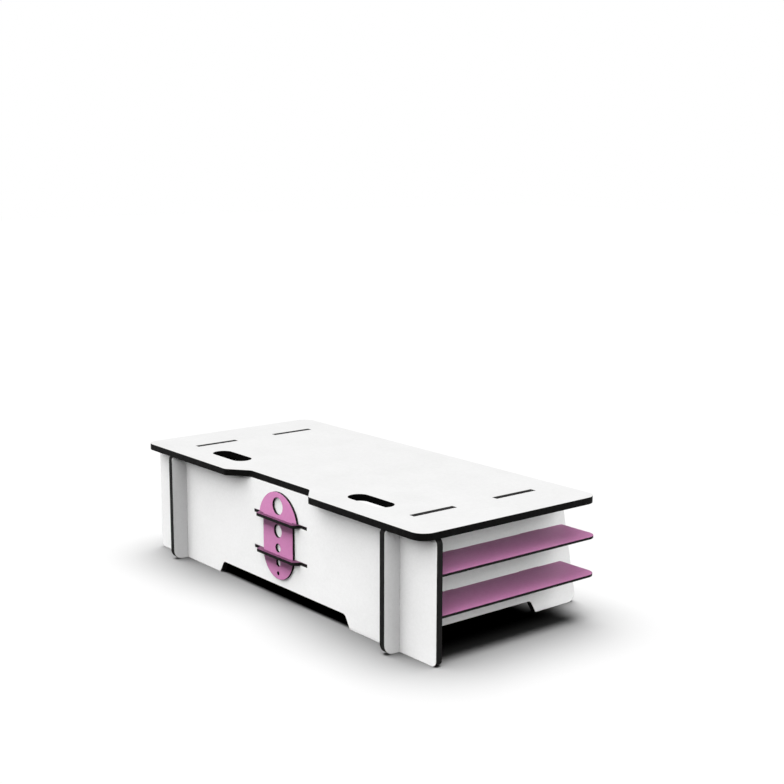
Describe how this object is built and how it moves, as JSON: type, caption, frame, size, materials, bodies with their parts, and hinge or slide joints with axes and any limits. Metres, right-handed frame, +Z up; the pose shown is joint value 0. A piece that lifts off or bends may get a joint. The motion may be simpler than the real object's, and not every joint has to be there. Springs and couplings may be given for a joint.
{
  "type": "monitor riser stand",
  "caption": "Flat-pack monitor riser: white board table on slotted side and rear panels, with thin side shelves and a lift-out cable tidy plate.",
  "frame": {"origin": "on the floor under the middle of the whole stand", "axes": "+X to the user's right along the width, +Y to the rear where the tidy plate is, +Z up"},
  "size_m": [0.56, 0.286, 0.144],
  "materials": {
    "white_board": "white laminate faces, matt, with a black core showing on every cut edge",
    "pink_board": "pink laminate faces, matt, with a black core showing on every cut edge"
  },
  "bodies": {
    "stand": {"top_board": "white_board", "left_side_panel": "white_board", "right_side_panel": "white_board", "rear_panel": "white_board", "left_lower_shelf": "pink_board", "left_upper_shelf": "pink_board", "right_lower_shelf": "pink_board", "right_upper_shelf": "pink_board", "lower_tidy_bracket": "pink_board", "upper_tidy_bracket": "pink_board"},
    "plate": {"tidy_plate": "pink_board"}
  },
  "joints": [
    {"name": "plate_lift", "type": "slide", "parent": "stand", "child": "plate", "axis": [0, 0, 1], "range_m": [0, 0.07]}
  ]
}
